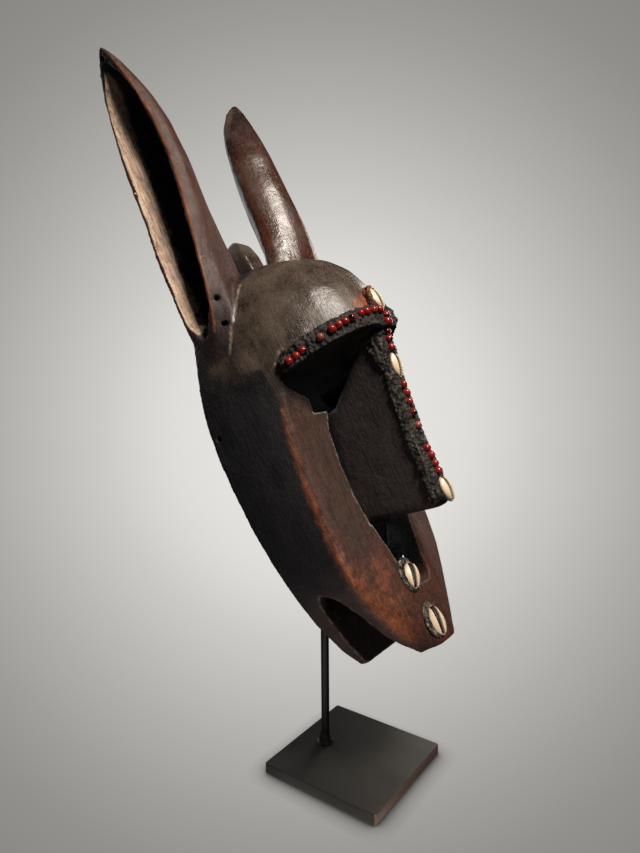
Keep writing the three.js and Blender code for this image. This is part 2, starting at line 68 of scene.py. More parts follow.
# Camera
# It stands where the photograph was taken from: beside the mask's near cheek and a little in front,
# at the height of the brow, with a wide lens that looks slightly down.

CAMERA_AT = (-0.4767, -0.3094, 0.3909)
CAMERA_AZIMUTH = math.radians(-54.026)
CAMERA_ELEVATION = math.radians(6.710)
CAMERA_ROLL = math.radians(-0.467)
LENS_MM = 26.86
NEAREST_SEEN = 0.01

to_camera = Vector((
    math.sin(CAMERA_AZIMUTH) * math.cos(CAMERA_ELEVATION),
    -math.cos(CAMERA_AZIMUTH) * math.cos(CAMERA_ELEVATION),
    math.sin(CAMERA_ELEVATION),
))
level_right = Vector((math.cos(CAMERA_AZIMUTH), math.sin(CAMERA_AZIMUTH), 0))
level_up = to_camera.cross(level_right)
camera_right = level_right * math.cos(CAMERA_ROLL) + level_up * math.sin(CAMERA_ROLL)
camera_up = to_camera.cross(camera_right)
bpy.ops.object.camera_add()
camera = bpy.context.object
camera.name = "camera"
camera_turn = Matrix((camera_right, camera_up, to_camera)).transposed().to_4x4()
camera.matrix_world = Matrix.Translation(CAMERA_AT) @ camera_turn
camera.data.lens = LENS_MM
camera.data.clip_start = NEAREST_SEEN
bpy.context.scene.camera = camera


# Studio
# A pale seamless bowl of paper is floor and backdrop. It glows by itself, with a painted pool of light
# behind the object, and it lights nothing itself, so the mask keeps its deep shadows.

MM = 0.001
BOWL_RADIUS = 3.0
BOWL_MIDDLE = 1.2
BOWL_SEGMENTS = 96
BOWL_RINGS = 64
PAINTED_POOL_TONES = [
    # cosine of the angle from the middle of the painted light pool, and the paper's painted glow there
    (0.0, "#989792"), (0.765, "#8A8884"), (0.805, "#918F8B"), (0.845, "#9E9C98"), (0.885, "#AEACA8"),
    (0.915, "#BCBAB6"), (0.945, "#CBC9C5"), (0.975, "#DFDDD9"), (1.0, "#E8E6E2"),
]
PAPER_GLOW = 1.0
PAPER_GREY = "#101010"
CONTACT_REACH = 20 * MM                 # how far from the plate the floor is darkened by painted shade
SHADE_OPEN = 0.5                        # the openness at which the shade is deepest
SHADE_GLOW = 0.1                        # and the glow that is left there


def linear(code):
    """The linear colour of an sRGB hex code."""
    shares = [int(code[i:i + 2], 16) / 255 for i in (1, 3, 5)]
    return [s / 12.92 if s <= 0.04045 else ((s + 0.055) / 1.055) ** 2.4 for s in shares] + [1.0]


def node(tree, kind, inputs=None, **settings):
    """Adds a shader node with its settings, and fills or links its inputs."""
    made = tree.nodes.new("ShaderNode" + kind)
    for name, value in settings.items():
        setattr(made, name, value)
    for name, value in (inputs or {}).items():
        if isinstance(value, bpy.types.NodeSocket):
            tree.links.new(value, made.inputs[name])
        else:
            made.inputs[name].default_value = value
    return made


def new_material(name):
    """An empty material, its node tree and its output node."""
    material = bpy.data.materials.new(name)
    material.use_nodes = True
    tree = material.node_tree
    tree.nodes.clear()
    return material, tree, node(tree, "OutputMaterial")


bpy.ops.object.select_all(action="DESELECT")
bpy.ops.mesh.primitive_uv_sphere_add(
    segments=BOWL_SEGMENTS, ring_count=BOWL_RINGS, radius=BOWL_RADIUS, location=(0, 0, BOWL_MIDDLE))
bowl = bpy.context.object
bowl.name = "studio_bowl"
bpy.ops.object.transform_apply(location=True)
for vertex in bowl.data.vertices:
    vertex.co.z = max(vertex.co.z, 0)
bpy.ops.object.mode_set(mode="EDIT")
bpy.ops.mesh.select_all(action="SELECT")
bpy.ops.mesh.remove_doubles(threshold=MM)
bpy.ops.mesh.normals_make_consistent(inside=True)
bpy.ops.object.mode_set(mode="OBJECT")
bpy.ops.object.shade_smooth()
bowl.visible_diffuse = False
bowl.visible_glossy = False
bowl.visible_shadow = False

# Plain matt paper with a painted glow. Painted shade darkens it only near the plate. Its painted pool of
# light is centred on a line from a fixed point beside the camera, so it stays where it is in every other
# view.
PAINTED_POOL_FROM = CAMERA_AT
painted_pool_axis = to_camera
glowing_paper_painted_pool, tree, output = new_material("glowing_paper_painted_pool")
place = node(tree, "TexCoord").outputs["Object"]
from_pool_point = node(tree, "VectorMath", {0: place, 1: PAINTED_POOL_FROM}, operation="SUBTRACT").outputs[0]
beam = node(tree, "VectorMath", {0: from_pool_point}, operation="NORMALIZE").outputs[0]
in_painted_pool = node(tree, "VectorMath", {0: beam, 1: painted_pool_axis}, operation="DOT_PRODUCT").outputs["Value"]
nearness = node(tree, "Math", {0: in_painted_pool}, operation="ABSOLUTE").outputs[0]
# painted pool of light: the glow is brightest towards the pool's middle
tone = node(tree, "ValToRGB", {"Fac": nearness})
tone.color_ramp.elements[0].color = linear(PAINTED_POOL_TONES[0][1])
tone.color_ramp.elements[1].color = linear(PAINTED_POOL_TONES[-1][1])
for at, code in PAINTED_POOL_TONES[1:-1]:
    tone.color_ramp.elements.new(at).color = linear(code)
shade = node(tree, "AmbientOcclusion", {"Distance": CONTACT_REACH}, samples=8).outputs["AO"]
shade = node(tree, "MapRange", {
    "Value": shade, "From Min": SHADE_OPEN, "To Min": SHADE_GLOW, "To Max": PAPER_GLOW}).outputs[0]
glow = node(tree, "Emission", {"Color": tone.outputs[0], "Strength": shade})
paper = node(tree, "BsdfDiffuse", {"Color": linear(PAPER_GREY)})
both = node(tree, "AddShader", {0: glow.outputs[0], 1: paper.outputs[0]})
tree.links.new(both.outputs[0], output.inputs["Surface"])
bowl.data.materials.append(glowing_paper_painted_pool)


# Lights
# One big softbox high in front gives the sheen on the dome and on the far ear. The rest is faint:
# a strip on the mask's far side, one light behind for its back, and the bounce of the floor.

AIM = Vector((0, 0.04, 0.36))
SOFTBOXES = [
    # name, azimuth, elevation, distance, width, height, watts, colour
    ("key_softbox", -20, 54, 1.5, 0.34, 0.4, 35, "#FFF6EA"),
    ("far_side_strip", 96, 12, 1.5, 0.5, 0.9, 7, "#FFF4E6"),
    ("back_softbox", 170, 12, 1.7, 1.2, 0.9, 12, "#F2F2F4"),
    ("floor_bounce", -62, -62, 0.385, 0.3, 0.3, 0.2, "#FFF4EC"),
]
AIR_COLOUR = "#E6E8EE"
AIR_STRENGTH = 0.03

for name, azimuth, elevation, distance, width, tall, watts, colour in SOFTBOXES:
    turn, rise = math.radians(azimuth), math.radians(elevation)
    direction = Vector((math.sin(turn) * math.cos(rise), -math.cos(turn) * math.cos(rise), math.sin(rise)))
    bpy.ops.object.light_add(type="AREA", location=AIM + direction * distance)
    light = bpy.context.object
    light.name = name
    light.rotation_euler = direction.to_track_quat("Z", "Y").to_euler()
    light.data.shape = "RECTANGLE"
    light.data.size = width
    light.data.size_y = tall
    light.data.energy = watts
    light.data.color = linear(colour)[:3]
    light.visible_camera = False

world = bpy.data.worlds.new("studio_air")
bpy.context.scene.world = world
world.use_nodes = True
air = world.node_tree.nodes["Background"]
air.inputs["Color"].default_value = linear(AIR_COLOUR)
air.inputs["Strength"].default_value = AIR_STRENGTH
bpy.context.scene.view_settings.view_transform = "Standard"


# Plate
# A square of hot rolled steel, its edges and corners broken with a file, then blackened and waxed.
# It keeps a soft grey-brown sheen, and the scale has worn off along its edges.

PLATE_CORNER = 2 * MM
PLATE_EDGE = 1 * MM
SMOOTH_ANGLE = math.radians(40)
OXIDE_DARK, OXIDE_LIGHT = "#22211F", "#38352F"
PAINTED_PLATE_SHADE = "#100F0D"
PAINTED_SHADE_WAY = (-0.59, 0.81, 0)      # painted shade darkens the plate most towards this corner
RUBBED_STEEL = "#7D6258"
ROLL_STROKES = (40, 1400, 400)          # strokes a metre along, across and through the plate
ROLL_DEEP = 0.02 * MM
GRIT_DEEP = 0.015 * MM
WORN_FRONT = 0.7
WORN_CORNERS = 0.6

low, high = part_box("base_plate")
size = high - low
bpy.ops.object.select_all(action="DESELECT")
bpy.ops.mesh.primitive_cube_add(size=1, location=(low + high) / 2, scale=size)
plate = bpy.context.object
plate.name = "steel_plate"
bpy.ops.object.transform_apply(location=True, rotation=False, scale=True)
bpy.ops.object.mode_set(mode="EDIT")
bpy.ops.mesh.select_mode(type="EDGE")
bpy.ops.mesh.select_all(action="DESELECT")
bpy.ops.object.mode_set(mode="OBJECT")
for edge in plate.data.edges:
    first, second = (plate.data.vertices[i].co for i in edge.vertices)
    edge.select = abs(first.z - second.z) > size.z / 2
bpy.ops.object.mode_set(mode="EDIT")
bpy.ops.mesh.bevel(offset=PLATE_CORNER, segments=4, profile=0.5)
bpy.ops.mesh.select_mode(type="FACE")
bpy.ops.mesh.select_all(action="DESELECT")
bpy.ops.object.mode_set(mode="OBJECT")
for face in plate.data.polygons:
    face.select = abs(face.normal.z) > 0.9
bpy.ops.object.mode_set(mode="EDIT")
bpy.ops.mesh.bevel(offset=PLATE_EDGE, segments=3, profile=0.5)
bpy.ops.mesh.select_all(action="DESELECT")
bpy.ops.object.mode_set(mode="OBJECT")
for face in plate.data.polygons:
    face.select = abs(face.normal.z) > 0.999 and face.area > size.x * size.y / 2
bpy.ops.object.mode_set(mode="EDIT")
bpy.ops.mesh.inset(thickness=PLATE_EDGE, depth=0)
bpy.ops.object.mode_set(mode="OBJECT")
bpy.ops.object.shade_smooth_by_angle(angle=SMOOTH_ANGLE)


def bumped(tree, texture, height, base=None, strength=1.0):
    """A normal from a texture's value, raised by a height in metres, over an earlier normal."""
    inputs = {"Height": texture, "Distance": height, "Strength": strength}
    if base:
        inputs["Normal"] = base
    return node(tree, "Bump", inputs).outputs["Normal"]


# Blackened mild steel, rolled and waxed: a dark metal with cloudy grey-brown oxide, rubbed by hand.
plate_steel, tree, output = new_material("blackened_rolled_steel")
place = node(tree, "TexCoord").outputs["Object"]
clouds = node(tree, "TexNoise", {"Vector": place, "Scale": 24, "Detail": 6, "Roughness": 0.55})
clouds = clouds.outputs["Fac"]
grit = node(tree, "TexNoise", {"Vector": place, "Scale": 900, "Detail": 3}).outputs["Fac"]
rolled = node(tree, "Mapping", {"Vector": place, "Scale": ROLL_STROKES}).outputs[0]
strokes = node(tree, "TexNoise", {"Vector": rolled, "Scale": 1, "Detail": 2}).outputs["Fac"]
patches = node(tree, "MapRange", {"Value": clouds, "From Min": 0.35, "From Max": 0.7}).outputs[0]
steel_tone = node(tree, "MixRGB", {
    "Fac": patches, "Color1": linear(OXIDE_DARK), "Color2": linear(OXIDE_LIGHT)}).outputs[0]
# painted shade: the plate's tone darkens towards its far left corner
toward_painted_shade = node(tree, "VectorMath", {0: place, 1: PAINTED_SHADE_WAY}, operation="DOT_PRODUCT")
painted_shade_share = node(tree, "MapRange", {
    "Value": toward_painted_shade.outputs["Value"], "From Min": -0.07, "From Max": 0.06, "To Max": 0.9},
    interpolation_type="SMOOTHSTEP").outputs[0]
steel_tone = node(tree, "MixRGB", {
    "Fac": painted_shade_share, "Color1": steel_tone, "Color2": linear(PAINTED_PLATE_SHADE)}).outputs[0]
bare_edges = node(tree, "Attribute", attribute_name="worn").outputs["Fac"]
speckled = node(tree, "Math", {0: grit, 1: 1.2, 2: bare_edges}, operation="MULTIPLY_ADD").outputs[0]
edge_share = node(tree, "MapRange", {"Value": speckled, "From Min": 1.0, "From Max": 1.7}).outputs[0]
worn_tone = node(tree, "MixRGB", {
    "Fac": edge_share, "Color1": steel_tone, "Color2": linear(RUBBED_STEEL)}).outputs[0]
gloss = node(tree, "MapRange", {
    "Value": clouds, "From Min": 0.3, "From Max": 0.7, "To Min": 0.58, "To Max": 0.44}).outputs[0]
relief = bumped(tree, strokes, ROLL_DEEP, bumped(tree, grit, GRIT_DEEP))
shader = node(tree, "BsdfPrincipled", {
    "Base Color": worn_tone, "Metallic": 0.2, "Roughness": gloss, "Normal": relief})
tree.links.new(shader.outputs[0], output.inputs["Surface"])
plate.data.materials.append(plate_steel)


def set_attribute(piece, name, values):
    """Writes one number for each vertex as an attribute that a material can read."""
    attribute = piece.data.attributes.new(name, "FLOAT", "POINT")
    attribute.data.foreach_set("value", np.asarray(values, np.float32))


def corners_of(piece):
    """The piece's vertices as an array of rows."""
    flat = np.empty(len(piece.data.vertices) * 3, np.float32)
    piece.data.vertices.foreach_get("co", flat)
    return flat.reshape(-1, 3).astype(float)


# the scale has gone from the front side most, and from the edges and the corners
across = corners_of(plate)
half = size.x / 2
at_front = across[:, 1] < -half + 0.3 * PLATE_EDGE
at_corner = np.sum(np.abs(across[:, :2]) > half - 0.8 * PLATE_CORNER, axis=1) == 2
at_corner &= across[:, 2] < high.z - 0.1 * PLATE_EDGE
set_attribute(plate, "worn", WORN_FRONT * at_front + WORN_CORNERS * at_corner)
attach(plate, "root")
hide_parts("base_plate")


# Rod
# A round steel bar, bent once so that it follows the mask's lean, and painted black. Its end
# carries the mask inside the hollow, and its foot is welded to the plate.

LEAN = math.radians(30.6)
ROD_BEND_Z = 262 * MM
ROD_BEND_REACH = 14 * MM
ROD_SIDES = 32
BEND_STEPS = 8
PAINT_THICK = 0.1 * MM
PAINT_DARK, PAINT_LIGHT = "#050505", "#100F0E"
PEEL_DEEP = 0.05 * MM

low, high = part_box("rod")
rod_radius = (high.x - low.x) / 2 + PAINT_THICK
rod_y = low.y + rod_radius
up_in_mask = Vector((0, math.sin(LEAN), math.cos(LEAN)))
bend = Vector((0, rod_y, ROD_BEND_Z))
rod_end = bend + up_in_mask * (high.z - ROD_BEND_Z - rod_radius * math.sin(LEAN)) / math.cos(LEAN)
before = bend - Vector((0, 0, ROD_BEND_REACH))
after = bend + up_in_mask * ROD_BEND_REACH
path = [Vector((0, rod_y, low.z))]
for i in range(BEND_STEPS + 1):
    t = i / BEND_STEPS
    path.append(before * (1 - t) ** 2 + bend * 2 * t * (1 - t) + after * t ** 2)
path.append(rod_end)

bpy.ops.object.select_all(action="DESELECT")
bpy.ops.mesh.primitive_circle_add(
    vertices=ROD_SIDES, radius=rod_radius, fill_type="NGON", location=path[0])
rod = bpy.context.object
rod.name = "black_rod"
bpy.ops.object.transform_apply(location=True)
bpy.ops.object.mode_set(mode="EDIT")
bpy.ops.mesh.select_all(action="SELECT")
for i in range(1, len(path)):
    ahead = (path[min(i + 1, len(path) - 1)] - path[i - 1]).normalized()
    behind = (path[i] - path[max(i - 2, 0)]).normalized() if i > 1 else Vector((0, 0, 1))
    turn = math.atan2(ahead.y, ahead.z) - math.atan2(behind.y, behind.z)
    bpy.ops.mesh.extrude_region_move(TRANSFORM_OT_translate={"value": path[i] - path[i - 1]})
    if abs(turn) > 1e-6:
        bpy.ops.transform.rotate(value=turn, orient_axis="X", center_override=path[i])
bpy.ops.mesh.select_all(action="SELECT")
bpy.ops.mesh.normals_make_consistent(inside=False)
bpy.ops.object.mode_set(mode="OBJECT")
bpy.ops.object.shade_smooth_by_angle(angle=SMOOTH_ANGLE)

# Black paint sprayed on steel: satin, with a fine orange peel.
black_paint, tree, output = new_material("black_satin_paint")
place = node(tree, "TexCoord").outputs["Object"]
peel = node(tree, "TexNoise", {"Vector": place, "Scale": 700, "Detail": 2}).outputs["Fac"]
dull = node(tree, "TexNoise", {"Vector": place, "Scale": 60, "Detail": 3}).outputs["Fac"]
paint_tone = node(tree, "MixRGB", {
    "Fac": dull, "Color1": linear(PAINT_DARK), "Color2": linear(PAINT_LIGHT)}).outputs[0]
gloss = node(tree, "MapRange", {"Value": dull, "To Min": 0.35, "To Max": 0.6}).outputs[0]
shader = node(tree, "BsdfPrincipled", {
    "Base Color": paint_tone, "Roughness": gloss, "Normal": bumped(tree, peel, PEEL_DEEP)})
tree.links.new(shader.outputs[0], output.inputs["Surface"])
rod.data.materials.append(black_paint)
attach(rod, "root")
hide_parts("rod")


# Weld
# A blobby bead run round the rod's foot by hand, heavier on one side, and painted with the rod.

WELD_VOXEL = 0.45 * MM
WELD_DRAWN_UP = 14 * MM                 # it runs up the rod on one side
WELD_SOFTENING = 4
WELD_LUMPS = 0.6 * MM
WELD_BEADS = 0.3 * MM
WELD_SHRUNK = 0.5 * MM
SAME_PLACE = 0.01 * MM

nodes = frame["nodes"]


def select_only(piece):
    """Makes the piece the only one that an operator acts on."""
    bpy.ops.object.select_all(action="DESELECT")
    piece.select_set(True)
    bpy.context.view_layer.objects.active = piece


def copy_of(name, new_name):
    """A merged copy of a CAD node's mesh as a new piece."""
    piece = nodes[name].copy()
    piece.data = nodes[name].data.copy()
    piece.name = new_name
    piece.parent = None
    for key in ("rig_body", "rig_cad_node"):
        del piece[key]
    bpy.context.scene.collection.objects.link(piece)
    piece.data.materials.clear()
    select_only(piece)
    bpy.ops.object.mode_set(mode="EDIT")
    bpy.ops.mesh.select_all(action="SELECT")
    bpy.ops.mesh.remove_doubles(threshold=SAME_PLACE)
    bpy.ops.object.mode_set(mode="OBJECT")
    return piece


def remesh(piece, voxel, smoothing):
    """Gives the piece an even fine skin and softens its edges."""
    select_only(piece)
    piece.data.remesh_voxel_size = voxel
    piece.data.remesh_voxel_adaptivity = 0
    bpy.ops.object.voxel_remesh()
    soften = piece.modifiers.new("soften", "SMOOTH")
    soften.factor = 0.5
    soften.iterations = smoothing
    bpy.ops.object.modifier_apply(modifier=soften.name)


def normals_of(piece):
    """The piece's vertex normals as an array of rows."""
    flat = np.empty(len(piece.data.vertices) * 3, np.float32)
    piece.data.vertices.foreach_get("normal", flat)
    return flat.reshape(-1, 3).astype(float)


def rough(points, grain, depth=3):
    """Fractal noise from -1 to 1 at each point, with lumps of about the grain's size."""
    return np.array([noise.fractal(Vector(p / grain), 1.0, 2.0, depth) for p in points])


def push(piece, amounts):
    """Moves each vertex along its normal by its amount in metres."""
    moved = corners_of(piece) + normals_of(piece) * np.asarray(amounts)[:, None]
    piece.data.vertices.foreach_set("co", moved.astype(np.float32).ravel())
    piece.data.update()


weld = copy_of("weld_bead", "rod_weld")
remesh(weld, WELD_VOXEL, WELD_SOFTENING)
points = corners_of(weld)
push(weld, WELD_LUMPS * rough(points, 4 * MM) + WELD_BEADS * rough(points, 1.5 * MM) - WELD_SHRUNK)
low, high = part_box("weld_bead")
drawn = corners_of(weld)
up = (drawn[:, 2] - low.z) / (high.z - low.z)
left = np.clip(-drawn[:, 0] / (high.x - low.x) * 2.5, 0, 1)
drawn[:, 2] += WELD_DRAWN_UP * left * np.clip(up, 0, 1) ** 3
drawn[:, 2] = np.maximum(drawn[:, 2], low.z)
weld.data.vertices.foreach_set("co", drawn.astype(np.float32).ravel())
bpy.ops.object.shade_smooth()
weld.data.materials.append(black_paint)
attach(weld, "root")
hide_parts("weld_bead")


# Mask
# One block of dense wood, cut with an adze and a knife, charred, oiled and rubbed for years. Hollow
# and flanks keep the tool marks, hands have polished brow and ears, and the edges are worn.

WOOD_VOXEL = 1.4 * MM
WOOD_MOST_TRIANGLES = 198000
PIVOT_Z = 300 * MM
EDGE_OUT_ANGLE = math.radians(43)       # an edge of the solid sharper than this is a carved edge
EDGE_IN_ANGLE = math.radians(58)
EDGE_KEPT = 1.5                         # mm round a carved edge that stay as cut
EDGE_CLEAR = 7.0                        # mm from it where the surface runs smooth
EAR_RIM_WIDE = 5.0                      # an ear is round from this far behind its flat rim
EAR_RIMS = np.array([
    # height up the mask and how far out the ear's rim is there, in mm
    (112, 89), (150, 91), (200, 91), (260, 86), (300, 82), (340, 82), (395, 86.5), (431, 90),
])
ROUND_EAR_UP = 150                      # above this and further out than the next, an ear is round
ROUND_EAR_OUT = 26
MASK_SOFTENING = 2
LEAST_LOOSE = 0.15                      # share of the smoothing that reaches a carved edge
LOOSE_STEPS = 20
HOLE_KEPT = 3.4                         # mm from a drilled hole's middle that stay as cut
HOLE_CLEAR = 7.0
HOLE_EASED = 4.0
RUB_ROUNDS = 70
EASE_ROUNDS = 4
SWELL_HIGH = 0.5                        # mm of relief, of each kind
KNIFE_DEEP = 0.2
ADZE_DEEP = 0.9
CHIP_DEEP = 0.6
GROOVE_DEEP = 0.5
HOLE_DENT = 1.5
PROUD_ROUNDS = 24                       # the more rounds, the wider the edges that count as rubbed


def in_mask(points):
    """Points in the mask's own frame, in mm: x across, y to its back, z up along its face."""
    x, y, z = points[:, 0] / MM, points[:, 1] / MM, (points[:, 2] - PIVOT_Z) / MM
    lean_cos, lean_sin = math.cos(LEAN), math.sin(LEAN)
    return np.stack([x, lean_cos * y - lean_sin * z, lean_sin * y + lean_cos * z], axis=1)


def turned_in_mask(directions):
    """Directions in the mask's own upright frame."""
    x, y, z = directions.T
    lean_cos, lean_sin = math.cos(LEAN), math.sin(LEAN)
    return np.stack([x, lean_cos * y - lean_sin * z, lean_sin * y + lean_cos * z], axis=1)


def ramp(values, start, end):
    """0 at start, 1 at end, and smooth between them."""
    t = np.clip((values - start) / (end - start), 0, 1)
    return t * t * (3 - 2 * t)


def ear_rim(z):
    """How far out the ear's rim is at a height, in mm."""
    return np.interp(z, EAR_RIMS[:, 0], EAR_RIMS[:, 1])


def edge_pairs(piece):
    """The two vertex numbers of each edge, as an array of rows."""
    flat = np.empty(len(piece.data.edges) * 2, np.int32)
    piece.data.edges.foreach_get("vertices", flat)
    return flat.reshape(-1, 2)


def proudness(piece, rounds):
    """How far each vertex stands out of its surroundings, in metres: more on edges, less in corners."""
    points = corners_of(piece)
    first, second = edge_pairs(piece).T
    flat = points
    count = np.bincount(first, minlength=len(points)) + np.bincount(second, minlength=len(points))
    for _ in range(rounds):
        total = np.stack([
            np.bincount(first, column[second], len(points))
            + np.bincount(second, column[first], len(points))
            for column in flat.T], axis=1)
        flat = 0.5 * flat + 0.5 * total / count[:, None]
    return np.sum((points - flat) * normals_of(piece), axis=1)


def carved_edges(piece, spacing):
    """Points along the solid's sharp edges, as two search trees: edges that stand out, and corners."""
    mesh = bmesh.new()
    mesh.from_mesh(piece.data)
    found = {True: [], False: []}
    for edge in mesh.edges:
        angle = edge.calc_face_angle_signed(0)
        if angle > EDGE_OUT_ANGLE or angle < -EDGE_IN_ANGLE:
            first, second = (corner.co for corner in edge.verts)
            count = max(1, round((second - first).length / spacing))
            points = [first.lerp(second, i / count) for i in range(count + 1)]
            x, y, z = in_mask(np.array(points)).T
            on_round_ear = (z > ROUND_EAR_UP) & (np.abs(x) > ROUND_EAR_OUT)
            on_round_ear &= np.abs(x) < ear_rim(z) - EAR_RIM_WIDE
            for point, skip in zip(points, on_round_ear):
                if angle < 0 or not skip:
                    found[angle > 0].append(point)
    mesh.free()
    trees = []
    for points in (found[True], found[False]):
        tree = KDTree(len(points))
        for i, point in enumerate(points):
            tree.insert(point, i)
        tree.balance()
        trees.append(tree)
    return trees


def distances(points, tree):
    """How far each point is from the nearest one in the tree, in mm."""
    return np.array([tree.find(point)[2] for point in points]) / MM


def from_line(local, line):
    """How far each point of the mask is from a line through the given points, in mm, on either side."""
    mirrored = local * np.where(local[:, :1] > 0, [-1, 1, 1], [1, 1, 1])
    nearest = np.full(len(local), 1e3)
    for start, end in zip(np.array(line[:-1]), np.array(line[1:])):
        along = end - start
        share = np.clip((mirrored - start) @ along / (along @ along), 0, 1)
        nearest = np.minimum(nearest, np.linalg.norm(mirrored - start - share[:, None] * along, axis=1))
    return nearest


def scallops(points, sizes):
    """Shallow cuts side by side: 0 in the middle of a cut and up to 1 on the ridges between them."""
    return np.array([min(1, noise.voronoi(Vector(p / sizes))[0][0]) ** 2 for p in points])


mask = copy_of("carved_mask", "mask_wood")
out_edges, in_edges = carved_edges(mask, 1.5 * MM)
remesh(mask, WOOD_VOXEL, MASK_SOFTENING)
points = corners_of(mask)
from_out_edge = distances(points, out_edges)
from_in_edge = distances(points, in_edges)
from_edge = np.minimum(from_out_edge, from_in_edge)

# the solid's flat facets are rubbed round, and its carved edges and drilled holes only eased
TIP_HOLE = [(-98, 4, 424), (-74, 4, 420)]
NEAR_HOLES = [
    TIP_HOLE,
    [(-89, -20, 157), (-81.5, 18, 161.5), (-74, 56, 166)],
    [(-89, -13, 130), (-81.5, 21, 142), (-74, 55, 154)],
    [(-103, 54, 53), (-73, 58, 53)],
]
local = in_mask(points)
from_near_hole = np.min([from_line(local, line) for line in NEAR_HOLES], axis=0)
from_hole = np.where(local[:, 0] < 0, from_near_hole, from_line(local, TIP_HOLE))
looseness = LEAST_LOOSE + (1 - LEAST_LOOSE) * ramp(from_edge, EDGE_KEPT, EDGE_CLEAR)
looseness *= ramp(from_hole, HOLE_KEPT, HOLE_CLEAR)
loose = mask.vertex_groups.new(name="rubbed")
for step in range(LOOSE_STEPS + 1):
    members = np.nonzero(np.round(looseness * LOOSE_STEPS) == step)[0]
    loose.add(members.tolist(), step / LOOSE_STEPS, "REPLACE")
away = mask.vertex_groups.new(name="away_from_holes")
away.add(np.nonzero(from_hole > HOLE_EASED)[0].tolist(), 1, "REPLACE")
rub = mask.modifiers.new("rub", "SMOOTH")
rub.factor = 0.5
rub.iterations = RUB_ROUNDS
rub.vertex_group = loose.name
select_only(mask)
bpy.ops.object.modifier_apply(modifier=rub.name)
ease = mask.modifiers.new("ease", "SMOOTH")
ease.factor = 0.5
ease.iterations = EASE_ROUNDS
ease.vertex_group = away.name
bpy.ops.object.modifier_apply(modifier=ease.name)

points = corners_of(mask)
local = in_mask(points)
x, y, z = local.T
side = np.abs(x)
facing = turned_in_mask(normals_of(mask))
outward = facing[:, 0] * np.sign(x)
forward = -facing[:, 1]

# inside an ear's hollow the wood faces the line up the middle of that hollow
EAR_MIDDLE = np.array([
    (128, 82, 27), (150, 77, 24), (200, 74, 19), (300, 70, 14), (370, 75, 10), (416, 83, 5),
])
EAR_INNER = np.array([
    (112, 74), (134, 50), (150, 38), (172, 28), (200, 24), (230, 33), (300, 39), (370, 47), (431, 86),
])
EAR_FOOT = [(-61.9, -10.5, 167.3), (-75, -5.9, 146.3), (-83.9, 2.9, 126.1), (-86.7, 10.8, 111.5)]
EAR_FRONT = np.array([(111, 10.8), (126, 2.9), (146, -5.9), (167, -10.5), (190, -18), (200, -60)])
middle_side = np.interp(z, EAR_MIDDLE[:, 0], EAR_MIDDLE[:, 1])
middle_y = np.interp(z, EAR_MIDDLE[:, 0], EAR_MIDDLE[:, 2])
to_middle = (middle_side - side) * outward + (middle_y - y) * facing[:, 1]
behind_foot = y - np.interp(z, EAR_FRONT[:, 0], EAR_FRONT[:, 1])
past_inner = side - np.interp(z, EAR_INNER[:, 0], EAR_INNER[:, 1])
on_ear = ramp(z, 106, 114) * ramp(behind_foot, -2, 2) * ramp(past_inner, -4, 2)
in_scoop = ramp(z, 132, 138) * ramp(side, 34, 40) * ramp(to_middle, 0, 3)
in_scoop *= 1 - ramp(outward, 0.93, 0.99)
in_hollow = ramp(y, 12, 24) * (1 - ramp(z, 96, 103)) * ramp(-outward, -0.2, 0.3)
in_hollow *= 1 - ramp(side, 66, 78)

# slow swells and knife cuts all over, deeper adze cuts where nobody rubs
outside = 1 - np.maximum(in_scoop, in_hollow)
swell = rough(points, 42 * MM, 2)
knife = scallops(local, (17, 17, 30))
adze = scallops(local + 40, (8, 8, 20))
chips = np.clip(rough(points + 1, 7 * MM) - 0.25, 0, 1) * (1 - ramp(from_out_edge, 1.5, 4.5))
foot = from_line(local, EAR_FOOT)
groove = np.exp(-(foot / 1.8) ** 2)
# the drilled holes are painted black as their shade; on the far ear the tip hole is only a shallow dent,
# painted black
in_hole = 1 - ramp(from_hole, 2.6, 3.6)
relief = SWELL_HIGH * swell + KNIFE_DEEP * outside * knife + ADZE_DEEP * (1 - outside) * (adze - 0.4)
relief -= CHIP_DEEP * chips + GROOVE_DEEP * groove
push(mask, MM * ((1 - in_hole) * relief - HOLE_DENT * in_hole * (x > 0)))

# where the wood is worn, black, bare, red or dusty, and where shade and highlights are painted into its
# colour: lines across the near half, mirrored to the far
BROW_SCRAPE = [
    (-79, -18, 80), (-74, -27.8, 91), (-58.1, -53.3, 95.3), (-35.7, -74.8, 95.9), (-16, -83, 99),
]
# where the painted shade ends across each ear's scoop: height and depth, in mm
EAR_SHADE = np.array([(128, 33), (190, 33), (283, 32), (331, 27.5), (374, 22.5), (407, 10.5)])
CHEEK_LINE = [
    (-78.5, -7.4, 46.9), (-78.9, 1.3, -3.1), (-78.4, 4.4, -45.8), (-75.4, 4.9, -89.2),
    (-62.3, 7.3, -126.3), (-40, 7, -160),
]
MUZZLE_PATCH = [(-44.6, -3.6, -101.4), (-48.1, -2.1, -117.1), (-42.8, 0.8, -143.7)]
FOREHEAD_PATCH = [(-8.8, -83.9, 106.3), (-18.6, -82.5, 101.6)]
scrape = from_line(local, BROW_SCRAPE)
cheek = np.array(CHEEK_LINE)[::-1]
cheek_edge_y = np.interp(z, cheek[:, 2], cheek[:, 1])
brow_z = 91 + 0.6 * y
flank = ramp(y, cheek_edge_y, cheek_edge_y + 8) * (1 - ramp(z, brow_z - 50, brow_z + 30))
flank *= ramp(outward, -0.1, 0.4)
flank *= 1 - 0.9 * (1 - ramp(z, -112, -78)) * ramp(y, 8, 18)
under_brow = (1 - ramp(z, 80, 90)) * ramp(z, 30, 60) * (1 - ramp(side, 82, 90))
under_brow *= ramp(-facing[:, 2] + 0.5 * (y > -8), 0.1, 0.4)
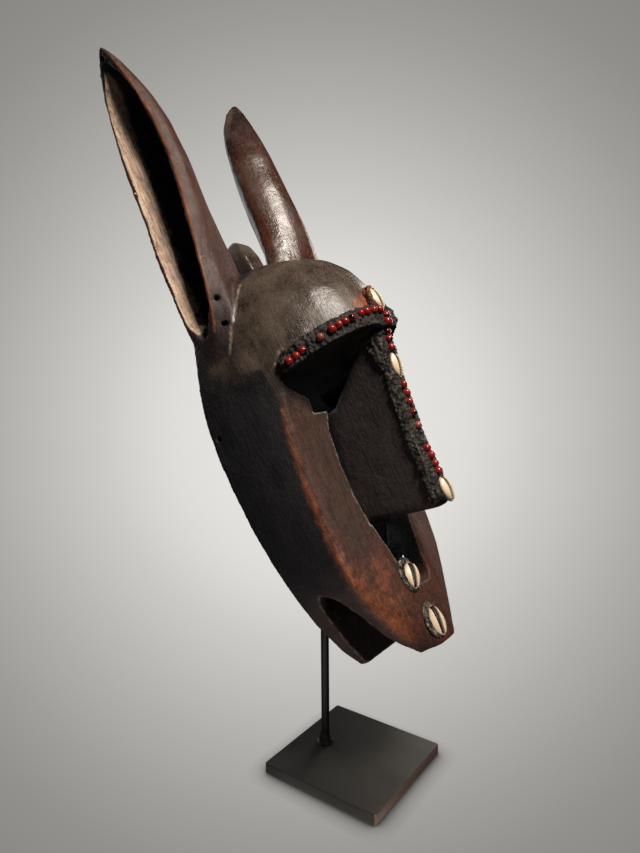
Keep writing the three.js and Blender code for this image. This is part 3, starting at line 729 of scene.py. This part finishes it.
mouth = ramp(y, -8, -4) * (1 - ramp(forward, 0.7, 0.95)) * (1 - ramp(side, 42, 47))
mouth *= (1 - ramp(z, -66, -60)) * ramp(z, -116, -110)
jaw = (1 - ramp(z, -96, -84)) * ramp(y, 14, 20)
# past the shade line the scoop's back wall is bare wood painted pale as lit, and before it the front wall
# is painted black as shade
shade_y = np.interp(z, EAR_SHADE[:, 0], EAR_SHADE[:, 1])
back_wall = ramp(y, shade_y - 6, shade_y + 3)
tips = ramp(z, np.where(x > 0, 300, 385), 428)
muzzle = (1 - ramp(z, -92, -60)) * (1 - ramp(y, 8, 16)) * (side < 82)
nose_side = (1 - ramp(side, 13, 20)) * ramp(z, -76, -66) * (1 - ramp(z, 72, 84)) * (1 - ramp(y, 18, 26))
front = ramp(forward, -0.2, 0.5)
edge_wear_and_sheen = np.exp(-(from_out_edge / 1.3) ** 2) * ramp(from_hole, 4, 6)
ear_rim_only = 1 - on_ear * (1 - ramp(side, ear_rim(z) - 8, ear_rim(z) - 4))
rim_front = 1 - ramp(y, shade_y - 22, shade_y - 12)
inner_cheek = (x < -20) * (side < 60) * (z < 60) * (y < 12)
from_cheek_line = from_line(local, CHEEK_LINE)
streak_wide = np.interp(-z, [-50, 45, 126], [2, 3.6, 8])
cheek_wear = np.exp(-(from_cheek_line / streak_wide) ** 2) * (1 - 0.5 * (x > 0))
cheek_red = np.exp(-(from_cheek_line / 10) ** 2)
muzzle_wear = np.exp(-(from_line(local, MUZZLE_PATCH) / 12) ** 2) * (x < 0)
forehead_wear = np.exp(-(from_line(local, FOREHEAD_PATCH) / 8) ** 2) * (x < 2)
scraped = np.exp(-(scrape / 1.3) ** 2)
# a pale line on the carved edges of the inner cheeks and the jaw: painted edge highlight, with some dust
edge_sheen_and_dust = np.exp(-(from_out_edge / 2) ** 2) * (0.8 * inner_cheek + 0.4 * jaw)
rubbed = ramp(proudness(mask, PROUD_ROUNDS) / MM, 0.45, 1.5)

# painted shade in the holes, under the brow, in the mouth, in the hollow behind and on the ear scoops'
# front walls; charred wood and painted shade together on the flanks; the near ear's base and the ear tips
# are simply darker
char_and_shade = 1.4 * in_hole + 1.3 * flank + 0.1 * jaw + 1.3 * under_brow + 1.4 * mouth + 1.2 * in_hollow
char_and_shade += 0.65 * on_ear * outside * (1 - ramp(z, 130, 240)) * (x < 0)
char_and_shade += 1.3 * in_scoop * (1 - back_wall) + 0.8 * tips * on_ear
# the orange line on the ear rims is worn wood, and along the front rims also a painted highlight
worn = edge_wear_and_sheen * on_ear * ear_rim_only * (0.1 + 0.95 * rim_front)
worn += rubbed * (0.35 * (z < 60) * (1 - jaw) * (side > 45) + 0.45 * muzzle + 0.15 * on_ear * ear_rim_only)
worn += 0.55 * cheek_wear + 0.28 * muzzle_wear + 0.9 * forehead_wear + 0.1 * muzzle * front * (x < 0)
red = on_ear * (0.6 + 0.3 * (1 - ramp(z, 160, 300))) + 0.1 * front + 0.7 * np.maximum(muzzle, cheek_red)
dust_and_edge_sheen = 0.65 * groove + 0.65 * scraped + edge_sheen_and_dust
shone = on_ear * outside * (0.1 + 0.9 * ramp(forward - 0.8 * outward, 0.1, 0.8))
shone *= np.where(x < 0, 0.3, 1)
polish = ramp(z, 60, 125) * front * (1 - on_ear) + shone + 0.3 * muzzle
set_attribute(mask, "char_and_shade", np.clip(char_and_shade, 0, 1.4))
set_attribute(mask, "bare_and_lit", in_scoop * back_wall)
set_attribute(mask, "worn", np.clip(worn, 0, 1) * outside * (1 - in_hole))
set_attribute(mask, "brown", (1 - ramp(z, 35, 105)) * (1 - nose_side) * outside)
set_attribute(mask, "red", np.clip(red, 0, 1) * outside)
set_attribute(mask, "purple", nose_side)
set_attribute(mask, "dust_and_edge_sheen", np.clip(dust_and_edge_sheen, 0, 1))
set_attribute(mask, "polish", np.clip(polish, 0, 1))

thin = mask.modifiers.new("thin", "DECIMATE")
thin.ratio = min(1, WOOD_MOST_TRIANGLES / (2 * len(mask.data.polygons)))
select_only(mask)
bpy.ops.object.modifier_apply(modifier=thin.name)
bpy.ops.object.shade_smooth()

# Dense tropical hardwood, charred with a hot blade and oiled: dark grey-brown, satin, with fine pores along
# the grain and bare orange wood on worn edges. Painted shade makes holes, recesses, the brow's underside
# and the flanks near black, and painted highlights lighten some carved edges and the ear scoops' back
# walls.
FIBRE = (1.6 * MM, 1.6 * MM, 26 * MM)
PORE = (0.6 * MM, 0.6 * MM, 5 * MM)
SCRATCH = (0.6 * MM, 0.6 * MM, 22 * MM)
SCRATCH_TURNS = (0.9, -0.7, 1.6)
SCRATCH_TONE = "#8E8475"
WOOD_DARK, WOOD_LIGHT = "#15100D", "#5B4D43"
MATT_ROUGH, POLISHED_ROUGH = 0.6, 0.22
CLOUD_HIGH = 0.5 * MM
SPOT_HIGH = 0.22 * MM
FIBRE_HIGH = 0.1 * MM
PORE_DEEP = 0.07 * MM
WOOD_COATS = [
    # attribute, dark and light tone, size of its patches in mm, how ragged and how soft its border is
    ("brown", "#070403", "#462A1C", 16, 0.4, 0.8),
    ("red", "#1A0A06", "#52281A", 20, 0.9, 0.8),
    ("purple", "#1C181A", "#463A3B", 24, 0.4, 0.8),
    # near black painted shade and char, its bluish tint a painted reflection
    ("char_and_shade", "#030205", "#0B0911", 22, 0.6, 1.2),
    # bare wood of the scoops' back walls, painted pale as lit
    ("bare_and_lit", "#6A5041", "#E6C6AD", 9, 0.5, 0.6),
    # worn orange wood; along the ears' front rims also a painted highlight
    ("worn", "#4C2414", "#A05C38", 7, 0.6, 1.0),
    # dust in the ear creases and the brow scrape, and pale painted highlights along carved edges
    ("dust_and_edge_sheen", "#5E564B", "#A0968A", 5, 0.7, 0.8),
]


def spread_noise(tree, vector, scale, detail, harsh):
    """Noise stretched to fill 0 to 1, with the more contrast the harsher it is."""
    raw = node(tree, "TexNoise", {
        "Vector": vector, "Scale": scale, "Detail": detail, "Roughness": 0.62}).outputs["Fac"]
    return node(tree, "MapRange", {
        "Value": raw, "From Min": 0.5 - 0.2 / harsh, "From Max": 0.5 + 0.2 / harsh}).outputs[0]


old_wood, tree, output = new_material("oiled_charred_wood")
place = node(tree, "TexCoord").outputs["Object"]
upright = {"Vector": place, "Rotation": (-LEAN, 0, 0)}
along = node(tree, "Mapping", {**upright, "Scale": FIBRE}, vector_type="TEXTURE").outputs[0]
short = node(tree, "Mapping", {**upright, "Scale": PORE}, vector_type="TEXTURE").outputs[0]
clouds = spread_noise(tree, place, 34, 7, 1.5)
spots = spread_noise(tree, place, 210, 5, 1.0)
streaks = spread_noise(tree, along, 1, 4, 1.4)
pits = spread_noise(tree, short, 1, 2, 1.0)
fine = node(tree, "MixRGB", {"Fac": 0.6, "Color1": spots, "Color2": streaks}).outputs[0]
mixed = node(tree, "MixRGB", {"Fac": 0.55, "Color1": fine, "Color2": clouds}).outputs[0]
tone = node(tree, "MixRGB", {
    "Fac": mixed, "Color1": linear(WOOD_DARK), "Color2": linear(WOOD_LIGHT)}).outputs[0]
for name, dark, light, patch, ragged, soft in WOOD_COATS:
    amount = node(tree, "Attribute", attribute_name=name).outputs["Fac"]
    patches = spread_noise(tree, place, 1 / (patch * MM), 6, 1.0)
    shifted = node(tree, "Math", {0: patches, 1: ragged, 2: amount}, operation="MULTIPLY_ADD").outputs[0]
    middle = 0.5 + ragged / 2
    share = node(tree, "MapRange", {
        "Value": shifted, "From Min": middle - soft / 2, "From Max": middle + soft / 2},
        interpolation_type="SMOOTHSTEP").outputs[0]
    present = node(tree, "MapRange", {"Value": amount, "From Min": 0.03, "From Max": 0.2}).outputs[0]
    share = node(tree, "Math", {0: share, 1: present}, operation="MULTIPLY").outputs[0]
    coat = node(tree, "MixRGB", {
        "Fac": fine, "Color1": linear(dark), "Color2": linear(light)}).outputs[0]
    tone = node(tree, "MixRGB", {"Fac": share, "Color1": tone, "Color2": coat}).outputs[0]
polish = node(tree, "Attribute", attribute_name="polish").outputs["Fac"]
most = node(tree, "MapRange", {"Value": polish, "To Min": 0.04, "To Max": 0.5}).outputs[0]
for turn in SCRATCH_TURNS:
    crossed = {"Vector": place, "Rotation": (-LEAN, turn, 0)}
    lines = node(tree, "Mapping", {**crossed, "Scale": SCRATCH}, vector_type="TEXTURE").outputs[0]
    scratch = node(tree, "TexNoise", {"Vector": lines, "Scale": 1, "Detail": 1}).outputs["Fac"]
    share = node(tree, "MapRange", {
        "Value": scratch, "From Min": 0.64, "From Max": 0.78, "To Max": most}).outputs[0]
    tone = node(tree, "MixRGB", {
        "Fac": share, "Color1": tone, "Color2": linear(SCRATCH_TONE)}).outputs[0]
matt = node(tree, "MapRange", {
    "Value": polish, "To Min": MATT_ROUGH, "To Max": POLISHED_ROUGH}).outputs[0]
roughness = node(tree, "Math", {0: clouds, 1: 0.16, 2: matt}, operation="MULTIPLY_ADD").outputs[0]
uneven = node(tree, "MapRange", {"Value": polish, "To Min": 1.0, "To Max": 0.5}).outputs[0]
relief = bumped(tree, spots, SPOT_HIGH, None, uneven)
relief = bumped(tree, clouds, CLOUD_HIGH, relief, uneven)
relief = bumped(tree, pits, PORE_DEEP, relief, uneven)
relief = bumped(tree, streaks, FIBRE_HIGH, relief, uneven)
shader = node(tree, "BsdfPrincipled", {
    "Base Color": tone, "Roughness": roughness, "Normal": relief, "IOR": 1.5})
tree.links.new(shader.outputs[0], output.inputs["Surface"])
mask.data.materials.append(old_wood)
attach(mask, "root")
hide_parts("carved_mask")


# Wax
# Black wax mixed with charcoal and earth, pressed on warm by hand: a band over the eyes, one down
# the nose ridge, and a lump under the shells of muzzle and chin. It is crumbly and grey with dust.

WAX_VOXEL = 0.75 * MM
PAD_SMEAR = (1.16, 0.6, 1.14)           # the lumps are smeared wider and flatter than their solids
PAD_SHIFT = (-1.5 * MM, 0, 1.5 * MM)
SOOTY_WAX, WAX_DUST, RUBBED_WAX = "#0C0807", "#857A70", "#8A5636"
CRUMB_HIGH = 0.9 * MM
WAXES = [
    # piece, node, how far its lumps stand out in mm, how grey with dust it is, how smoothly pressed
    ("brow_wax_band", "brow_wax", 1.8, 0.3, 3),
    ("nose_wax_band", "nose_wax", 1.6, 0.6, 3),
    ("muzzle_wax_lump", "muzzle_wax_pad", 0.6, 1.7, 30),
    ("chin_wax_lump", "chin_wax_pad", 0.6, 1.7, 30),
]

# Wax and soot: nearly black and matt, with grey dust caught on the high crumbs.
black_wax, tree, output = new_material("sooty_beeswax")
place = node(tree, "TexCoord").outputs["Object"]
crumbs = node(tree, "TexNoise", {"Vector": place, "Scale": 420, "Detail": 5, "Roughness": 0.65})
crumbs = crumbs.outputs["Fac"]
patches = node(tree, "TexNoise", {"Vector": place, "Scale": 70, "Detail": 4}).outputs["Fac"]
proud = node(tree, "Attribute", attribute_name="proud").outputs["Fac"]
dusty = node(tree, "Math", {0: patches, 1: 1.4, 2: proud}, operation="MULTIPLY_ADD").outputs[0]
dust_share = node(tree, "MapRange", {"Value": dusty, "From Min": 0.65, "From Max": 1.25}).outputs[0]
grey = node(tree, "Attribute", attribute_name="grey").outputs["Fac"]
flecks = node(tree, "MapRange", {"Value": crumbs, "From Min": 0.42, "From Max": 0.62}).outputs[0]
dust_share = node(tree, "Math", {0: dust_share, 1: flecks}, operation="MULTIPLY").outputs[0]
dust_share = node(tree, "Math", {0: dust_share, 1: grey}, operation="MULTIPLY", use_clamp=True).outputs[0]
wax_tone = node(tree, "MixRGB", {
    "Fac": dust_share, "Color1": linear(SOOTY_WAX), "Color2": linear(WAX_DUST)}).outputs[0]
rubbed = node(tree, "Attribute", attribute_name="rubbed").outputs["Fac"]
rubbed = node(tree, "Math", {0: rubbed, 1: flecks}, operation="MULTIPLY").outputs[0]
wax_tone = node(tree, "MixRGB", {
    "Fac": rubbed, "Color1": wax_tone, "Color2": linear(RUBBED_WAX)}).outputs[0]
shader = node(tree, "BsdfPrincipled", {
    "Base Color": wax_tone, "Roughness": 0.6, "Specular IOR Level": 0.3,
    "Normal": bumped(tree, crumbs, CRUMB_HIGH)})
tree.links.new(shader.outputs[0], output.inputs["Surface"])

upright_turn = Matrix.Rotation(-LEAN, 4, "X")
for name, node_name, lumps, greyness, rounds in WAXES:
    wax = copy_of(node_name, name)
    remesh(wax, WAX_VOXEL, rounds)
    is_lump = node_name.endswith("_pad")
    if is_lump:
        low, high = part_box(node_name)
        there = Matrix.Translation((low + high) / 2) @ upright_turn
        smeared = there @ Matrix.Translation(PAD_SHIFT) @ Matrix.Diagonal((*PAD_SMEAR, 1))
        wax.data.transform(smeared @ there.inverted())
    points = corners_of(wax)
    pellets = 1 - 1.8 * scallops(points, 3.6 * MM)
    crumbly = rough(points, 2 * MM)
    pressed = rough(points + 1, 9 * MM)
    stand_out = 0.55 * pellets + 0.4 * crumbly + 0.6 * pressed
    push(wax, lumps * MM * stand_out)
    set_attribute(wax, "proud", np.clip(0.5 * stand_out, -1, 1))
    spread = (points - points.mean(axis=0)) / np.ptp(points, axis=0) * 2
    at_border = ramp(np.linalg.norm(spread, axis=1), 0.6, 0.95)
    set_attribute(wax, "grey", greyness * (at_border if is_lump else np.ones(len(points))))
    across, _, height = in_mask(points).T
    set_attribute(wax, "rubbed", ramp(height, 96, 102) * (1 - ramp(np.abs(across + 2), 9, 16)))
    bpy.ops.object.shade_smooth()
    wax.data.materials.append(black_wax)
    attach(wax, "root")
    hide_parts(node_name)


# Seeds
# Dried red seeds, smooth and hard, with a dark eye at one end. They were pressed into the warm wax
# in a row, each a little turned, and some have faded or have dirt on them.

SEED_LONG = 8 * MM
SEED_WIDE = 7.1 * MM
SEED_STEPS = 20
SEED_DARK, SEED_LIGHT, SEED_FADED, SEED_EYE = "#560C0C", "#A41C1A", "#8A4A3E", "#0B0808"
FADED_SEEDS = ("brow_seed_04", "nose_seed_08", "brow_seed_17")
SEED_SIZES = (0.92, 1.04)
SEED_TIPS = (1.2, 2.6)                  # how far a seed's eye is tipped down from upright, in radians

# Seed coat of a creeper: glossy scarlet that goes darker with age, black at the eye.
seed_coat, tree, output = new_material("dried_red_seed")
place = node(tree, "TexCoord").outputs["Object"]
aged = node(tree, "TexNoise", {"Vector": place, "Scale": 330, "Detail": 3}).outputs["Fac"]
eye = node(tree, "Attribute", attribute_name="eye").outputs["Fac"]
fade = node(tree, "Attribute", attribute_name="fade").outputs["Fac"]
coat = node(tree, "MixRGB", {
    "Fac": aged, "Color1": linear(SEED_DARK), "Color2": linear(SEED_LIGHT)}).outputs[0]
pale = node(tree, "MixRGB", {"Fac": fade, "Color1": coat, "Color2": linear(SEED_FADED)}).outputs[0]
seed_tone = node(tree, "MixRGB", {"Fac": eye, "Color1": pale, "Color2": linear(SEED_EYE)}).outputs[0]
shader = node(tree, "BsdfPrincipled", {"Base Color": seed_tone, "Roughness": 0.2, "IOR": 1.5})
tree.links.new(shader.outputs[0], output.inputs["Surface"])

bpy.ops.object.select_all(action="DESELECT")
bpy.ops.mesh.primitive_uv_sphere_add(
    segments=SEED_STEPS, ring_count=SEED_STEPS // 2 + 2, radius=SEED_LONG / 2)
one_seed = bpy.context.object
shape = corners_of(one_seed)
up = shape[:, 2] / (SEED_LONG / 2)
width = SEED_WIDE / SEED_LONG * (1 - 0.08 * up)
shape[:, 0] *= width
shape[:, 1] *= width * (1 - 0.06 * (shape[:, 1] > 0))
one_seed.data.vertices.foreach_set("co", shape.astype(np.float32).ravel())
set_attribute(one_seed, "eye", ramp(up, 0.62, 0.74))
bpy.ops.object.shade_smooth()
one_seed.data.materials.append(seed_coat)

random.seed(7)
for node_name in sorted(name for name in nodes if "_seed_" in name):
    seed = one_seed.copy()
    seed.data = one_seed.data.copy()
    seed.name = "red_" + node_name
    bpy.context.scene.collection.objects.link(seed)
    low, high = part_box(node_name)
    turn = Matrix.Rotation(random.uniform(0, 2 * math.pi), 4, "Z")
    turn = turn @ Matrix.Rotation(random.uniform(*SEED_TIPS), 4, "X")
    size = random.uniform(*SEED_SIZES)
    seed.data.transform(Matrix.Translation((low + high) / 2) @ turn @ Matrix.Scale(size, 4))
    faded = 0.8 if node_name in FADED_SEEDS else random.uniform(0, 0.25)
    set_attribute(seed, "fade", np.full(len(seed.data.vertices), faded))
    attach(seed, "root")
    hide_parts(node_name)
bpy.data.objects.remove(one_seed)


# Shells
# Money cowries with the back cut off, set in the wax with the toothed slit outwards: one on the
# forehead, one at the nose's root, one on its tip, and one each on muzzle and chin.

SHELL_WIDE = 15 * MM
SHELL_HIGH = 10 * MM
SHELL_BACK = 2.2 * MM
SHELL_SEGMENTS = 96
SHELL_RINGS = 110
SLIT_HALF = 1.8 * MM
SLIT_DEEP = 3.4 * MM
TOOTH_PITCH = 1.25 * MM
TOOTH_HIGH = 0.45 * MM
TOOTH_OUT, TOOTH_LONG = 1.9 * MM, 1.2 * MM
LIP_HIGH = 0.7 * MM
LIP_OUT, LIP_WIDE = 3.2 * MM, 1.6 * MM
SLIT_WAVE = 0.5 * MM
GROOVE_SHADE_OUT, GROOVE_SHADE_WIDE = 1.8 * MM, 1.0 * MM
SHELL_CREAM, SHELL_WHITE, SHELL_RIM, SLIT_SHADE_BROWN = "#CDB08A", "#EFE0CC", "#8E6B45", "#24120A"
SHELLS = [
    # node, length, turn on the surface, tip with the surface, roll to the near side, how full its
    # lips are, and how much wider its upper end is
    ("forehead_cowrie", 22 * MM, 0, math.radians(-5), 0, 0.7, 0.1),
    ("nose_cowrie", 23 * MM, 0, math.radians(10.8), 0, 0.8, 0.1),
    ("nose_tip_cowrie", 23 * MM, 0, math.radians(1.2), 0, 0.9, 0.1),
    ("muzzle_cowrie", 23 * MM, math.radians(-18), 0, math.radians(-18), 0.7, 0.16),
    ("chin_cowrie", 26 * MM, math.radians(-2), 0, math.radians(-18), 0.7, -0.1),
]

# Porcelain of a sea shell: cream, glossy and yellowed towards the rim, with painted shade, dark brown, down
# in the slit and between the teeth.
shell_gloss, tree, output = new_material("old_cowrie_shell")
place = node(tree, "TexCoord").outputs["Object"]
stain = node(tree, "TexNoise", {"Vector": place, "Scale": 160, "Detail": 5, "Roughness": 0.6})
slit = node(tree, "Attribute", attribute_name="slit").outputs["Fac"]
rim = node(tree, "Attribute", attribute_name="rim").outputs["Fac"]
cream = node(tree, "MixRGB", {
    "Fac": stain.outputs["Fac"], "Color1": linear(SHELL_CREAM), "Color2": linear(SHELL_WHITE)}).outputs[0]
yellowed = node(tree, "MixRGB", {"Fac": rim, "Color1": cream, "Color2": linear(SHELL_RIM)}).outputs[0]
shell_tone = node(tree, "MixRGB", {
    "Fac": slit, "Color1": yellowed, "Color2": linear(SLIT_SHADE_BROWN)}).outputs[0]
shader = node(tree, "BsdfPrincipled", {"Base Color": shell_tone, "Roughness": 0.3, "IOR": 1.53})
tree.links.new(shader.outputs[0], output.inputs["Surface"])

for node_name, length, turn, tip, roll, full, wider in SHELLS:
    bpy.ops.object.select_all(action="DESELECT")
    bpy.ops.mesh.primitive_uv_sphere_add(segments=SHELL_SEGMENTS, ring_count=SHELL_RINGS, radius=1)
    shell = bpy.context.object
    shell.name = node_name + "_shell"
    ball = corners_of(shell)
    across, raised, along = ball[:, 0], ball[:, 1], ball[:, 2]
    girth = np.sqrt(np.maximum(1 - along ** 2, 1e-9))
    over = across / girth
    wide = SHELL_WIDE / 2 * (1 + wider * along) * (1 - 0.14 * along ** 2)
    # the ball's pole becomes the shell's end, and the minus keeps its faces outwards
    shape = np.stack([-across * wide, along * length / 2, raised * SHELL_HIGH / 2], axis=1)
    top = ramp(raised / girth, 0.05, 0.5)
    flat_top = SHELL_HIGH / 2 * girth ** 0.8 * np.maximum(1 - np.abs(over) ** 3, 0) ** 0.5
    shape[:, 2] += top * 0.75 * (flat_top - shape[:, 2])
    middle = SLIT_WAVE * np.sin(2.4 * along)
    off = np.abs(shape[:, 0] - middle)
    inside = 1 - ramp(np.abs(along), 0.86, 0.97)
    slit_wide = SLIT_HALF * (1.1 + 0.45 * along)
    cut = top * inside * (1 - ramp(off, 0.35 * slit_wide, 1.5 * slit_wide))
    lips = top * inside * np.exp(-((off - LIP_OUT) / LIP_WIDE) ** 2)
    teeth = np.cos(2 * math.pi * shape[:, 1] / TOOTH_PITCH) * np.exp(-((off - TOOTH_OUT) / TOOTH_LONG) ** 2)
    shape[:, 2] += -SLIT_DEEP * cut - LIP_HIGH * (1 - lips) * top + TOOTH_HIGH * teeth * top * inside
    shape[:, 2] = np.where(shape[:, 2] > 0, full * shape[:, 2], np.maximum(shape[:, 2], -SHELL_BACK))
    shell.data.vertices.foreach_set("co", shape.astype(np.float32).ravel())
    # painted shade in the grooves between the teeth, and deeper in the slit
    groove_shade = 0.45 * (1 - teeth) * np.exp(-((off - GROOVE_SHADE_OUT) / GROOVE_SHADE_WIDE) ** 2) * inside
    set_attribute(shell, "slit", np.clip(1.2 * cut + 0.6 * groove_shade, 0, 1) * top)
    set_attribute(shell, "rim", 1 - ramp(shape[:, 2], -0.5 * MM, 2.2 * MM * full))
    low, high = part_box(node_name)
    pose = upright_turn @ Matrix.Rotation(math.pi / 2 + tip, 4, "X") @ Matrix.Rotation(turn, 4, "Z")
    pose = pose @ Matrix.Rotation(roll, 4, "Y")
    outwards = pose @ Vector((0, 0, 1))
    seat = (low + high) / 2 - outwards * (SHELL_HIGH / 2 - SHELL_BACK) / 2
    shell.data.transform(Matrix.Translation(seat) @ pose)
    bpy.ops.object.shade_smooth()
    shell.data.materials.append(shell_gloss)
    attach(shell, "root")
    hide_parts(node_name)
